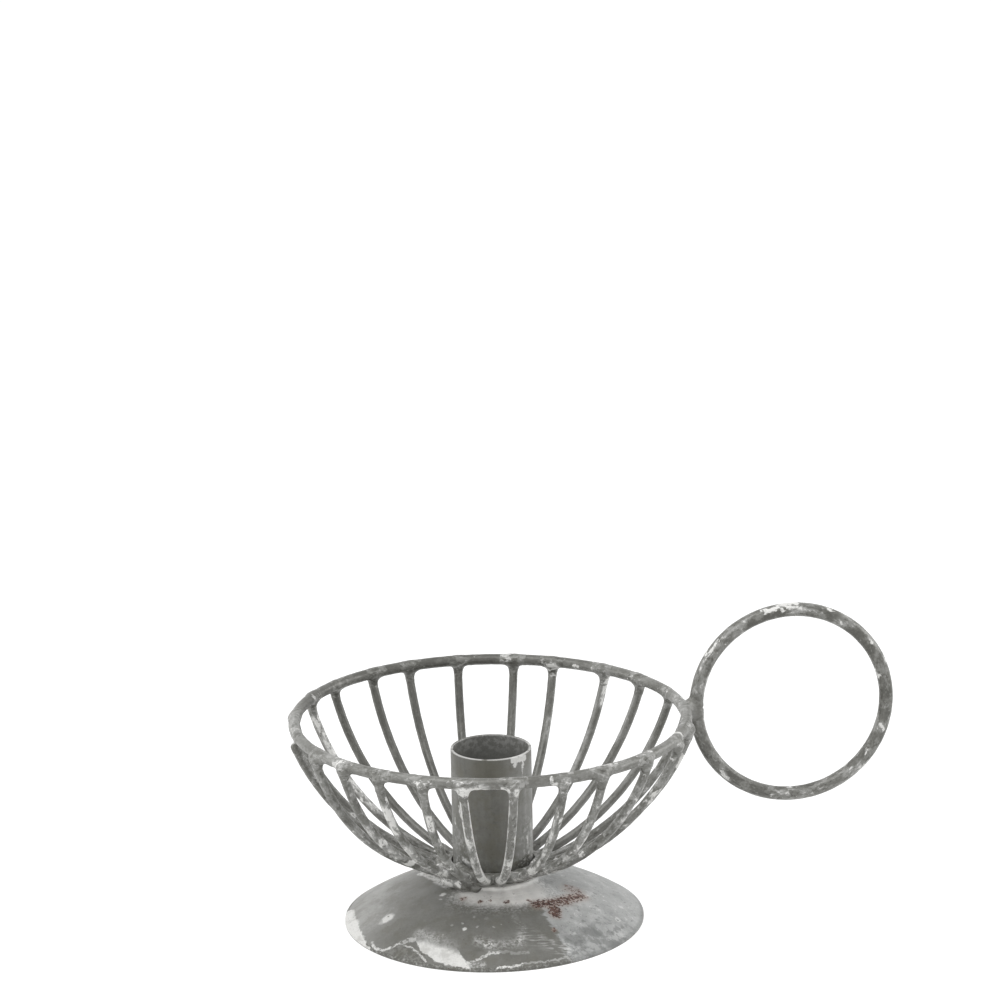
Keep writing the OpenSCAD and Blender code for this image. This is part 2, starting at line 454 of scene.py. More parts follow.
def hub_grid():
    """A grid round the hub, with the distance of its points from the axis, the cup's wall and the dome."""
    low = np.array([-HUB_REACH, -HUB_REACH, SEAT_HEIGHT - 2.2])
    high = np.array([HUB_REACH, HUB_REACH, HUB_HEIGHT])
    points, counts = net_grid(low, high)
    radius = np.hypot(points[:, 0], points[:, 1])
    wall = np.maximum(radius - CUP_RADIUS, points[:, 2] - CUP_TOP + 0.1)
    dome = np.linalg.norm(points - [0, 0, DOME_CENTRE], axis=1) - DOME_RADIUS
    return low, points, counts, radius, wall, dome


def collar_weld():
    """The run of weld on the foot round the cup, with an uneven ridge at its top."""
    low, points, counts, radius, wall, dome = hub_grid()
    height = points[:, 2]
    ridge = np.hypot(radius - CUP_RADIUS - 0.15, height - COLLAR_TOP + 0.65) - 0.62
    field = smooth_min(wall, np.maximum(dome, height - SEAT_HEIGHT), COLLAR_BLEND)
    field = smooth_min(field, ridge, 0.7)
    sink = np.maximum(ramp(height, COLLAR_TOP - 0.1, COLLAR_TOP + 0.4), ramp(radius, COLLAR_REACH - 2, COLLAR_REACH))
    field += 2 * WELD_SINK * sink - WELD_GROWTH
    field = np.maximum(field, CUP_RADIUS - CUP_WALL / 2 - radius)
    field = np.maximum(field, radius - COLLAR_REACH - 0.6)
    field = np.maximum(field, height - COLLAR_TOP - 0.8)
    field = np.maximum(field, dome * -1 - 0.9)
    return lumpy(*net_surface(field.reshape(counts), low), 51)


def rib_foot_weld(lines):
    """The welds at the ribs' feet, with the beads and runs of weld between them."""
    low, points, counts, radius, wall, dome = hub_grid()
    field = wall.copy()
    nearest = np.full(len(points), np.inf)
    for line, share, across in lines:
        outward = np.cross(across, [0, 0, 1])
        near = (np.abs(points @ across) < 5) & (points @ outward > 8)
        rib = line_distance(points[near], line[-50::4], RIB_WIRE / 2 * SWELL)
        field[near] = smooth_min(field[near], rib, HUB_BLEND)
        nearest[near] = np.minimum(nearest[near], rib)
    for start, end, thick in HUB_BEADS:
        start, end = np.array(start), np.array(end)
        near = np.linalg.norm(points - (start + end) / 2, axis=1) < HUB_NEAR
        bead = line_distance(points[near], np.array([start, end]), thick)
        field[near] = smooth_min(field[near], bead, BEAD_BLEND)
        nearest[near] = np.minimum(nearest[near], bead)
    field += WELD_SINK * ramp(radius, HUB_REACH - 4, HUB_REACH - 1) - WELD_GROWTH
    field += WELD_SINK * ramp(nearest, 0.7, 1.8)
    field = np.maximum(field, CUP_RADIUS - CUP_WALL / 2 - radius)
    field = np.maximum(field, radius - HUB_REACH + 0.6)
    field = np.maximum(field, dome * -1 - 0.9)
    field = np.maximum(field, SEAT_HEIGHT - 1.9 - points[:, 2])
    return lumpy(*net_surface(field.reshape(counts), low), 61)


def handle_weld(rib):
    """The bead that joins the ends of the ring handle to the rim."""
    middle = np.array([RIM_RADIUS + RIM_WIRE / 2 + HANDLE_WIRE / 4, 0, HANDLE_CENTRE[2] - 0.4])
    reach = WELD_REACH + 1.5
    low, high = middle - reach - 0.5, middle + reach + 0.5
    points, counts = net_grid(low, high)
    field = smooth_min(rim_distance(points), handle_distance(points), 1.8)
    field = smooth_min(field, np.linalg.norm(points - middle, axis=1) - BEAD_RADIUS, 1.6)
    field = smooth_min(field, line_distance(points, rib[:30:3], RIB_WIRE / 2 * SWELL), 1.6)
    away = np.linalg.norm(points - middle, axis=1)
    field += WELD_SINK * ramp(away, reach - 2.5, reach) - WELD_GROWTH
    field = np.maximum(field, away - reach)
    return lumpy(*net_surface(field.reshape(counts), low), 71)


class Paint:
    """A material built from short calls. Places and sizes are in millimetres of the object."""

    def __init__(self, name, flat=False, straight=False):
        self.material = bpy.data.materials.new(name)
        self.material.use_nodes = True
        self.tree = self.material.node_tree
        self.tree.nodes.clear()
        place = self.add("TexCoord").outputs["Object"]
        self.place = self.vector("SCALE", place, scale=MILLIMETRES)
        # Patches are laid out in a plane or in space that is pulled about, which gives them ragged shores
        spread = self.vector("MULTIPLY", self.place, (1, 1, 0)) if flat else self.place
        self.grain_place = self.place
        slow = self.noise(4.5, detail=2.0, channel="Color")
        quick = self.noise(1.1, detail=4.0, roughness=0.65, channel="Color", shift=(9, 9, 9))
        spread = self.vector("ADD", spread, self.pull(slow, 1.5, flat))
        self.layout = self.vector("ADD", spread, self.pull(quick, 1.5, flat))
        if straight:
            # Noise on the wires runs along them
            attribute = self.add("Attribute", attribute_type="GEOMETRY", attribute_name="paint_place")
            self.grain_place = self.vector("MULTIPLY", attribute.outputs["Vector"], (0.55, 1, 1))

    def pull(self, colour, amount, flat):
        centred = self.vector("SUBTRACT", colour, (0.5, 0.5, 0.5))
        return self.vector("MULTIPLY", centred, (amount, amount, 0 if flat else amount))

    def add(self, kind, inputs=None, **settings):
        made = self.tree.nodes.new("ShaderNode" + kind)
        for name, value in settings.items():
            setattr(made, name, value)
        for name, value in (inputs or {}).items():
            if isinstance(value, bpy.types.NodeSocket):
                self.tree.links.new(value, made.inputs[name])
            else:
                made.inputs[name].default_value = value
        return made

    def vector(self, operation, a, b=None, c=None, scale=None):
        inputs = {0: a}
        if b is not None:
            inputs[1] = b
        if c is not None:
            inputs[2] = c
        if scale is not None:
            inputs["Scale"] = scale
        made = self.add("VectorMath", inputs, operation=operation)
        return made.outputs["Value" if operation in ("LENGTH", "DOT_PRODUCT") else "Vector"]

    def math(self, operation, a, b=0.0, c=0.0):
        return self.add("Math", {0: a, 1: b, 2: c}, operation=operation).outputs[0]

    def noise(self, size, detail=4.0, roughness=0.55, distortion=0.0, shift=(0, 0, 0), stretch=(1, 1, 1), channel=0):
        """Noise from 0 to 1 whose blobs are about size millimetres wide, longer along an axis by its stretch."""
        scale = tuple(1 / (size * s) for s in stretch)
        moved = self.vector("MULTIPLY_ADD", self.grain_place, scale, shift)
        inputs = {
            "Vector": moved,
            "Scale": 1.0,
            "Detail": detail,
            "Roughness": roughness,
            "Distortion": distortion,
        }
        return self.add("TexNoise", inputs).outputs[channel]

    def step(self, value, start, end):
        """0 before start and 1 after end, smooth in between."""
        inputs = {"Value": value, "From Min": start, "From Max": end}
        return self.add("MapRange", inputs, interpolation_type="SMOOTHSTEP").outputs[0]

    def flecks(self, size, start, end, shift, detail=4.0, roughness=0.62, distortion=0.0):
        """1 in the flecks of a noise that is above a level."""
        value = self.noise(size, detail=detail, roughness=roughness, distortion=distortion, shift=shift)
        return self.step(value, start, end)

    def line(self, value, level, width):
        """1 where value is near level, as the shore that a dried patch leaves."""
        away = self.math("ABSOLUTE", self.math("SUBTRACT", value, level))
        return self.math("SUBTRACT", 1.0, self.step(away, 0.0, width))

    def both(self, a, b):
        return self.math("MULTIPLY", a, b)

    def either(self, a, b):
        return self.math("MAXIMUM", a, b)

    def shift_tone(self, tone, mask, amount):
        return self.math("MULTIPLY_ADD", mask, amount, tone)

    def lay(self, tone, mask, other):
        """Tone with another one laid over it where the mask is 1."""
        return self.add("Mix", {0: mask, 2: tone, 3: other}, data_type="FLOAT").outputs[0]

    def mix(self, share, a, b):
        return self.add("Mix", {0: share, 6: a, 7: b}, data_type="RGBA").outputs[2]

    def spot(self, centre, size, soft=0.15):
        """1 inside a ragged patch round centre. Size is its half length along each axis."""
        scale = tuple(1 / s for s in size)
        offset = tuple(-c / s for c, s in zip(centre, size))
        away = self.vector("LENGTH", self.vector("MULTIPLY_ADD", self.layout, scale, offset))
        return self.math("SUBTRACT", 1.0, self.step(away, 1.0 - soft, 1.0 + soft))

    def stroke(self, start, end, width, soft=0.2):
        """1 inside a ragged stroke from start to end, of the given half width."""
        along = [b - a for a, b in zip(start, end)]
        square = sum(d * d for d in along)
        from_start = self.vector("SUBTRACT", self.layout, start)
        share = self.vector("DOT_PRODUCT", from_start, tuple(d / square for d in along))
        share = self.add("Clamp", {"Value": share}).outputs[0]
        foot = self.vector("SCALE", tuple(along), scale=share)
        away = self.vector("LENGTH", self.vector("SUBTRACT", from_start, foot))
        return self.math("SUBTRACT", 1.0, self.step(away, width * (1 - soft), width * (1 + soft)))

    def path(self, places, width, soft=0.2):
        """Strokes from each place to the next, as one patch."""
        mask = None
        for start, end in zip(places[:-1], places[1:]):
            stroke = self.stroke(start, end, width, soft)
            mask = stroke if mask is None else self.either(mask, stroke)
        return mask

    def region(self, corners):
        """1 inside a ragged patch with straight sides. Corners run anticlockwise, each with how soft its side is."""
        mask = None
        for (x, y, soft), (next_x, next_y, _) in zip(corners, corners[1:] + corners[:1]):
            length = math.hypot(next_x - x, next_y - y)
            inward = ((y - next_y) / length, (next_x - x) / length, 0)
            level = self.vector("DOT_PRODUCT", self.vector("SUBTRACT", self.layout, (x, y, 0)), inward)
            side = self.step(level, -soft, soft)
            mask = side if mask is None else self.math("MINIMUM", mask, side)
        return mask

    def colour(self, tone):
        """The paint's colour at a tone from 0, darkest, to 1, palest."""
        made = self.add("ValToRGB", {"Fac": tone})
        stops = made.color_ramp.elements
        for place, colour in TONES.items():
            stop = stops[0] if place == 0 else stops[-1] if place == 1 else stops.new(place)
            stop.position = place
            stop.color = colour
        return made.outputs[0]

    def finish(self, colour, height, rough, bump=0.35, depth=0.10, metallic=0.12, gloss=0.4):
        """Joins colour, height and roughness to a satin metal paint."""
        bent = self.add("Bump", {"Strength": bump, "Distance": depth / MILLIMETRES, "Height": height})
        shader = self.add("BsdfPrincipled", {"Base Color": colour, "Roughness": rough, "Normal": bent.outputs[0]})
        shader.inputs["Metallic"].default_value = metallic
        shader.inputs["Specular IOR Level"].default_value = gloss
        out = self.add("OutputMaterial")
        self.tree.links.new(shader.outputs[0], out.inputs["Surface"])
        return self.material


def wash(paint, base, cloud=0.7, mottle=0.26, fleck=0.24, grain=0.40, pool=0.61, pits=0.24):
    """Tone of worn wash: slow clouds, mottling, flecks, fine grain, pale pools with crisp shores, dark pits."""
    clouds = paint.math("SUBTRACT", paint.noise(7.0, detail=3.0), 0.5)
    tone = paint.math("MULTIPLY_ADD", clouds, cloud, base)
    tone = paint.shift_tone(tone, paint.flecks(2.4, 0.46, 0.60, (4, 1, 7), detail=5.0), mottle)
    tone = paint.shift_tone(tone, paint.flecks(1.0, 0.57, 0.65, (7, 3, 1)), fleck)
    fine = paint.math("SUBTRACT", paint.noise(0.5, detail=3.0, roughness=0.6, shift=(1, 5, 2)), 0.5)
    tone = paint.shift_tone(tone, fine, grain)
    pools = paint.noise(4.2, detail=6.0, roughness=0.62, distortion=0.3, shift=(13, 2, 5))
    pale = paint.math("MULTIPLY_ADD", fine, 0.5, 0.78)
    tone = paint.lay(tone, paint.step(pools, pool, pool + 0.05), pale)
    return paint.shift_tone(tone, paint.flecks(1.3, 0.55, 0.66, (3, 8, 20)), -pits), fine


# Places on the foot, seen from above
CRESCENT = (
    (((-43.9, 8.0, 0), (-43.4, 1.0, 0), (-43.2, -6.5, 0)), 2.0),
    (((-43.2, -6.5, 0), (-42.9, -12.5, 0), (-42.2, -17.0, 0)), 1.8),
    (((-42.2, -17.0, 0), (-40.6, -20.6, 0)), 1.1),
)
WEDGE = (
    (-26.7, -26.9, 0.25), (-25.8, -31.3, 0.25), (-22.4, -37.1, 0.25), (-17.3, -40.4, 0.2), (-12.4, -42.6, 0.3),
    (-15.2, -36.0, 1.4),
)
WEDGE_CLOUDS = (
    ((-25.3, -24.9), 2.1, 0.42), ((-22.3, -28.4), 2.4, 0.46), ((-19.0, -30.4), 2.2, 0.30), ((-16.8, -33.6), 2.0, 0.26),
)
SHORE = ((-39.0, -18.6, 0), (-38.2, -21.8, 0), (-36.3, -24.4, 0), (-33.6, -25.3, 0), (-31.2, -25.3, 0))
SHORE_END = ((-31.2, -25.3, 0), (-28.9, -25.5, 0), (-27.0, -26.4, 0))
POCKET_LINE = ((-30.2, -26.6, 0), (-27.8, -29.4, 0), (-26.3, -32.4, 0), (-25.0, -35.6, 0))
EDGE_LINE = ((-13.2, -40.3, 0), (-9.5, -40.3, 0), (-7.5, -39.6, 0), (-6.0, -38.8, 0), (-3.5, -39.1, 0))
EDGE_FADE = ((-3.5, -39.1, 0), (0.0, -39.4, 0), (4.5, -39.7, 0))
FRONT_LINE = ((-4.8, -43.7, 0), (-1.3, -43.7, 0), (2.5, -43.3, 0))
FRONT_SHORE = ((2.5, -43.3, 0), (9.2, -42.5, 0), (13.8, -41.0, 0), (16.0, -39.9, 0), (17.3, -41.6, 0))
SHOULDER = ((-20.8, 12.6, 0), (-18.5, 5.8, 0), (-16.4, -0.6, 0))
SHOULDER_END = ((-16.4, -0.6, 0), (-14.8, -3.8, 0), (-13.8, -6.2, 0))
ARC = ((2.2, -26.2, 0), (3.0, -29.0, 0), (4.6, -31.0, 0), (4.2, -34.0, 0), (2.1, -35.2, 0))
RUST_BAND = ((10.1, -20.6, 0), (14.0, -19.4, 0), (17.7, -17.8, 0), (22.5, -14.0, 0), (24.5, -12.4, 0))
RUST_LOBE = ((14.2, -20.2, 0), (15.4, -22.4, 0), (14.9, -24.4, 0))
RIGHT_START = (8.3, -15.0, 0)
RIGHT_ACROSS = (0.951, 0.313, 0)


def foot_paint():
    """Grey foot with a pale right side, white pools and lines, and a band of rust crumbs."""
    paint = Paint("foot_paint", flat=True)
    tone, fine = wash(paint, 0.27, cloud=0.30, mottle=0.03, fleck=0.03, grain=0.14, pool=0.74, pits=0.04)
    fringe = paint.noise(0.8, detail=3.0, roughness=0.7, shift=(8, 3, 3))
    spatter = paint.step(fringe, 0.44, 0.60)
    away = paint.vector("LENGTH", paint.vector("MULTIPLY", paint.place, (1, 1, 0)))
    height = paint.add("SeparateXYZ", {0: paint.place}).outputs["Z"]
    tone = paint.shift_tone(tone, paint.stroke((-46, -6, 0), (-24, 34, 0), 12, soft=0.9), 0.36)
    tone = paint.shift_tone(tone, paint.spot((-22, -8, 0), (13, 9, 1), soft=0.8), 0.12)

    # The pale right side, whose border is brushed out at its lower end
    right = paint.vector("DOT_PRODUCT", paint.vector("SUBTRACT", paint.layout, RIGHT_START), RIGHT_ACROSS)
    wisps = paint.noise(2.2, detail=5.0, roughness=0.7, distortion=0.6, shift=(3, 12, 3), stretch=(2.2, 1, 1))
    right = paint.math("MULTIPLY_ADD", paint.math("SUBTRACT", wisps, 0.5), 7.0, right)
    # Behind the tube, out of the photograph's sight, the border is washed out
    behind = paint.math("MULTIPLY_ADD", paint.step(paint.vector("DOT_PRODUCT", paint.place, (0, 1, 0)), 8.0, 26.0), 0.9, 0.1)
    side = paint.step(paint.math("DIVIDE", right, behind), -7.0, 9.0)
    clouds = paint.math("SUBTRACT", paint.noise(6.0, detail=5.0, distortion=0.5, shift=(2, 2, 2)), 0.5)
    pale = paint.math("MULTIPLY_ADD", clouds, 0.75, 0.71)
    pale = paint.shift_tone(pale, fine, 0.30)
    pale = paint.shift_tone(pale, paint.flecks(1.3, 0.58, 0.68, (6, 0, 1)), -0.30)
    pale = paint.shift_tone(pale, paint.flecks(1.6, 0.60, 0.66, (0, 6, 4), distortion=0.4), 0.16)
    lower = paint.stroke((18, -37, 0), (36, -25, 0), 5.5, soft=0.7)
    smudges = paint.flecks(2.8, 0.46, 0.60, (11, 6, 0), detail=5.0)
    pale = paint.shift_tone(pale, paint.both(lower, smudges), -0.42)
    for x, y, across, along, amount in (
        (25.1, -29.2, 2.6, 1.7, -0.50), (19.3, -33.9, 3.0, 1.6, -0.36), (30.0, -31.6, 2.6, 1.3, -0.42),
        (23.1, -25.0, 0.6, 0.5, -0.35), (28.7, -15.9, 0.5, 0.5, -0.35), (29.4, -7.9, 0.6, 0.5, -0.30),
        (19.8, -25.2, 0.4, 0.4, -0.30), (27.6, -17.6, 0.5, 0.4, -0.25), (18.6, -21.5, 0.4, 0.4, -0.30),
    ):
        pale = paint.shift_tone(pale, paint.spot((x, y, 0), (across, along, 1), soft=0.4), amount)
    tone = paint.lay(tone, side, pale)

    # Streaks and wisps between the dark lobe and the border
    brushed = paint.noise(0.7, detail=3.0, stretch=(8, 1, 1), shift=(0, 7, 0))
    streaks = paint.both(paint.stroke((4.5, -33.4, 0), (15.5, -37.6, 0), 2.6, soft=0.6), paint.step(brushed, 0.47, 0.60))
    tone = paint.shift_tone(tone, streaks, 0.34)
    tone = paint.shift_tone(tone, paint.both(paint.path(ARC, 0.9, soft=0.8), spatter), 0.20)
    for start, end, width, amount in (
        ((-9.4, -33.9, 0), (-6.6, -35.4, 0), 1.7, 0.46), ((-6.0, -36.7, 0), (3.0, -36.2, 0), 1.5, 0.38),
        ((-13.0, -41.4, 0), (-9.0, -42.2, 0), 0.9, 0.50),
    ):
        wisp = paint.both(paint.stroke(start, end, width, soft=0.7), paint.step(fringe, 0.36, 0.60))
        tone = paint.shift_tone(tone, wisp, amount)
    tone = paint.shift_tone(tone, paint.spot((-9.2, -37.4, 0), (2.0, 1.0, 1), soft=0.7), -0.12)

    # The pale neck with its spattered lower side. Its pale paint is made paler still, as painted light that lifts the
    # shade of the basket above it
    neck = paint.spot((1.5, -13.0, 0), (13.4, 8.2, 1), soft=0.24)
    neck = paint.both(neck, paint.step(right, 9.0, 3.0))
    tone = paint.lay(tone, neck, paint.math("MULTIPLY_ADD", clouds, 0.45, 0.94))
    ring = paint.spot((0.5, -14.2, 0), (16.5, 10.4, 1), soft=0.22)
    ring = paint.both(paint.both(ring, paint.math("SUBTRACT", 1.0, neck)), paint.step(fringe, 0.46, 0.56))
    tone = paint.shift_tone(tone, ring, 0.34)

    # The wedge, its clouds and the dark pocket beside it
    for (x, y), size, amount in WEDGE_CLOUDS:
        cloud = paint.both(paint.spot((x, y, 0), (size, size, 1), soft=0.8), paint.step(fringe, 0.25, 0.60))
        tone = paint.shift_tone(tone, cloud, amount)
    pocket = paint.math("MULTIPLY_ADD", paint.flecks(1.4, 0.44, 0.56, (5, 5, 0)), 0.22, 0.16)
    tone = paint.lay(tone, paint.stroke((-33.5, -28.0, 0), (-27.0, -34.0, 0), 2.9, soft=0.25), pocket)

    # The edge is dark and speckled, with white lines above it
    speckled = paint.flecks(0.8, 0.42, 0.66, (2, 4, 0), detail=5.0)
    edge = paint.both(paint.step(away, FOOT_RADIUS - 1.0, FOOT_RADIUS - 0.6), paint.step(right, 6.0, -2.0))
    tone = paint.lay(tone, edge, paint.math("MULTIPLY_ADD", speckled, 0.46, 0.12))
    lower_left = paint.path(((-38.6, -23.0, 0), (-35.2, -28.4, 0), (-31.0, -33.4, 0), (-25.5, -38.0, 0)), 1.3, soft=0.3)
    tone = paint.lay(tone, lower_left, paint.math("MULTIPLY_ADD", speckled, 0.56, 0.10))
    low_edge = paint.step(away, FOOT_RADIUS - 1.3, FOOT_RADIUS - 0.5)
    tone = paint.shift_tone(tone, paint.both(low_edge, paint.step(right, 0.0, 6.0)), -0.22)

    ragged = paint.flecks(1.0, 0.32, 0.50, (9, 1, 0), detail=4.0)
    white = paint.region(WEDGE)
    for places, width in CRESCENT:
        white = paint.either(white, paint.path(places, width, soft=0.14))
    for places, width, amount in (
        (SHORE, 0.42, 0.9), (SHORE_END, 0.80, 0.7), (POCKET_LINE, 0.30, 0.8), (EDGE_LINE, 0.45, 0.9),
        (FRONT_LINE, 0.30, 1.0), (FRONT_SHORE, 0.30, 0.6), (SHOULDER, 1.1, 0.85), (SHOULDER_END, 1.8, 0.85),
        (EDGE_FADE, 0.55, 0.4),
    ):
        drawn = paint.both(paint.path(places, width, soft=0.35), paint.both(ragged, amount))
        white = paint.either(white, drawn)
    for x, y, size, amount in (
        (-33.3, -11.3, 1.9, 0.9), (-34.8, -11.8, 1.2, 0.5), (-12.6, -28.5, 0.75, 0.9), (-12.6, -26.1, 0.35, 0.6),
        (-15.8, -26.0, 0.4, 0.4), (-18.8, -28.5, 0.35, 0.5), (-8.5, -28.8, 0.45, 0.5), (-4.2, -30.0, 0.40, 0.6),
        (-5.8, -26.0, 0.6, 0.25), (-1.5, -29.2, 0.3, 0.6), (-9.1, -24.8, 0.4, 0.4), (-16.5, -10.0, 0.9, 0.9),
        (34.2, -19.2, 0.9, 0.8), (36.7, -11.0, 0.8, 0.8), (16.1, -0.6, 1.2, 0.95), (-17.6, -12.4, 0.4, 0.6),
        (-14.2, -12.6, 0.5, 0.7), (8.6, -18.3, 0.5, 0.7), (13.4, -9.0, 0.8, 0.7),
    ):
        white = paint.either(white, paint.both(paint.spot((x, y, 0), (size, size, 1), soft=0.35), amount))
    top = paint.both(paint.step(height, COLLAR_TOP - 1.0, COLLAR_TOP - 0.6), neck)
    white = paint.either(white, paint.both(top, 0.9))
    tone = paint.lay(tone, white, paint.math("MULTIPLY_ADD", fine, 0.2, 0.97))
    hole = paint.either(paint.spot((34.2, -19.4, 0), (0.35, 0.35, 1)), paint.spot((-33.0, -10.8, 0), (0.4, 0.3, 1)))
    tone = paint.lay(tone, hole, 0.40)

    colour = paint.colour(tone)
    colour = paint.mix(paint.both(side, 0.35), colour, COOL)
    warm = paint.both(paint.flecks(5.0, 0.48, 0.64, (1, 1, 9)), paint.math("SUBTRACT", 1.0, side))
    colour = paint.mix(paint.both(warm, 0.24), colour, OLIVE)
    # Pale paint and painted light together: the neck tinted towards near white
    colour = paint.mix(paint.both(neck, 0.50), colour, NECK_PAINT_AND_LIGHT)
    rust = paint.either(paint.path(RUST_BAND, 2.0, soft=0.9), paint.path(RUST_LOBE, 1.7, soft=0.7))
    faint = paint.either(rust, paint.both(paint.spot((22.5, -9.8, 0), (3.4, 2.8, 1), soft=0.6), 0.55))
    for x, y, size in (
        (-10.9, -15.2, 1.1), (-6.3, -18.1, 0.8), (1.1, -19.4, 1.0), (7.8, -19.0, 0.8), (13.6, -30.9, 0.8),
        (20.9, -7.4, 0.8), (-3.6, -18.3, 0.5),
    ):
        faint = paint.either(faint, paint.both(paint.spot((x, y, 0), (size, size, 1), soft=0.5), 0.8))
    colour = paint.mix(paint.both(faint, 0.62), colour, RUST_STAIN)
    crumbs = paint.noise(0.85, detail=4.0, roughness=0.7, shift=(30, 1, 9))
    crumbs = paint.step(paint.math("MULTIPLY_ADD", faint, 0.24, crumbs), 0.66, 0.71)
    colour = paint.mix(paint.both(crumbs, 0.92), colour, RUST)
    core = paint.both(crumbs, paint.flecks(0.9, 0.48, 0.58, (3, 3, 3), detail=3.0))
    colour = paint.mix(paint.both(core, 0.7), colour, RUST_CORE)
    relief = paint.math("MULTIPLY_ADD", fine, 0.6, paint.math("ADD", white, crumbs))
    relief = paint.math("ADD", relief, paint.both(side, 0.5))
    rough = paint.math("MULTIPLY_ADD", side, 0.08, 0.50)
    # The underside has a plain wash
    sheet = paint.vector("LENGTH", paint.vector("SUBTRACT", paint.place, (0, 0, DOME_CENTRE)))
    under = paint.step(sheet, DOME_RADIUS - 0.25, DOME_RADIUS - 0.45)
    plain = paint.math("MULTIPLY_ADD", paint.flecks(2.2, 0.42, 0.62, (4, 1, 7), detail=5.0), 0.25, 0.30)
    colour = paint.mix(under, colour, paint.colour(plain))
    return paint.finish(colour, relief, rough)


def tube_paint():
    """Smooth olive grey tube with a pale lip in front, a white chip under it and a few pale runs, painted shade and
    reflections in bands down it, and painted light in its bore.
    """
    paint = Paint("tube_paint")
    tone, fine = wash(paint, 0.26, cloud=0.30, mottle=0.03, fleck=0.02, grain=0.12, pool=0.76, pits=0.05)
    x, y, z = paint.add("SeparateXYZ", {0: paint.place}).outputs
    long = paint.noise(3.0, detail=3.0, stretch=(1, 1, 14), shift=(5, 6, 7))
    tone = paint.shift_tone(tone, paint.math("SUBTRACT", long, 0.5), 0.35)
    # Painted shade and painted reflections: a dark band down the tube's front, where it faces the camera, and paler
    # bands down its right and left sides
    tone = paint.shift_tone(tone, paint.spot((-1.9, -11.9, 34), (3.4, 3, 24), soft=0.8), -0.15)
    tone = paint.shift_tone(tone, paint.stroke((9.5, -7.5, 20), (9.5, -7.5, 56), 4.8, soft=0.8), 0.20)
    tone = paint.shift_tone(tone, paint.stroke((-11.4, -3.6, 16), (-11.4, -3.6, 44), 2.6, soft=0.8), 0.10)
    tone = paint.shift_tone(tone, paint.step(z, 47.0, 49.0), -0.06)
    worn = paint.flecks(1.5, 0.44, 0.60, (12, 2, 3))
    radius = paint.vector("LENGTH", paint.vector("MULTIPLY", paint.place, (1, 1, 0)))
    # Painted light: the inside of the bore is painted paler than the outside to lift its shade, with pale worn flecks
    # towards its mouth
    inside = paint.math("SUBTRACT", 1.0, paint.step(radius, TUBE_BORE + 0.1, TUBE_BORE + 0.3))
    inner_with_painted_light = paint.math("MULTIPLY_ADD", paint.both(worn, paint.step(z, 44.0, 53.0)), 0.22, 0.42)
    tone = paint.lay(tone, inside, paint.shift_tone(inner_with_painted_light, fine, 0.3))
    chip = paint.both(paint.stroke((5.4, -10.6, 52.8), (8.9, -8.0, 52.5), 0.95, soft=0.15), 1.0)
    for places, width, amount in (
        (((6.2, -10.3, 52.2), (6.0, -10.4, 50.9)), 0.65, 1.0), (((8.4, -8.6, 52.4), (8.2, -8.8, 50.0)), 0.42, 1.0),
        (((8.1, -8.9, 49.8), (8.0, -9.0, 47.4)), 0.22, 0.7), (((-11.6, -3.3, 33.2), (-11.6, -3.2, 31.6)), 0.40, 0.8),
        (((-10.6, -5.7, 37.6), (-10.3, -6.3, 34.6)), 0.42, 0.9), (((10.9, -5.2, 31.0), (11.0, -5.0, 19.0)), 0.9, 0.35),
        (((9.4, -7.6, 27.4), (9.5, -7.5, 25.6)), 0.35, 0.8), (((9.9, -6.9, 21.8), (9.8, -7.0, 20.2)), 0.6, 0.6),
        (((-9.9, -6.9, 21.6), (-8.4, -8.7, 20.4)), 0.9, 0.6),
    ):
        chip = paint.either(chip, paint.both(paint.path(places, width, soft=0.4), amount))
    front = paint.step(y, 7.0, 1.0)
    lip = paint.both(paint.step(z, TUBE_TOP - 0.42, TUBE_TOP - 0.18), paint.flecks(2.4, 0.32, 0.44, (2, 9, 4)))
    chip = paint.either(chip, paint.both(paint.both(lip, front), 0.82))
    tone = paint.lay(tone, chip, paint.math("MULTIPLY_ADD", fine, 0.3, 0.94))
    lower = paint.both(paint.step(z, 40.0, 26.0), worn)
    tone = paint.shift_tone(tone, paint.both(lower, paint.step(paint.math("ABSOLUTE", x), 3.0, 10.0)), 0.22)
    foot = paint.both(paint.step(z, 24.0, 19.5), worn)
    tone = paint.shift_tone(tone, foot, 0.12)
    shadow = paint.both(paint.stroke((6.4, -10.2, 19.6), (9.2, -7.9, 20.6), 1.5, soft=0.5), paint.flecks(1.0, 0.40, 0.52, (2, 2, 2)))
    tone = paint.lay(tone, shadow, -0.05)
    colour = paint.colour(tone)
    stain = paint.both(paint.flecks(5.0, 0.46, 0.62, (2, 7, 5)), paint.step(tone, 0.6, 0.3))
    stain = paint.either(stain, paint.spot((-3.0, -11.6, 50.0), (6.0, 3.0, 3.6), soft=0.5))
    stain = paint.both(stain, paint.math("SUBTRACT", 1.0, inside))
    colour = paint.mix(paint.both(stain, 0.40), colour, OLIVE)
    relief = paint.math("MULTIPLY_ADD", fine, 0.4, chip)
    rough = paint.math("MULTIPLY_ADD", chip, 0.15, 0.42)
    return paint.finish(colour, relief, rough, bump=0.2, metallic=0.2)


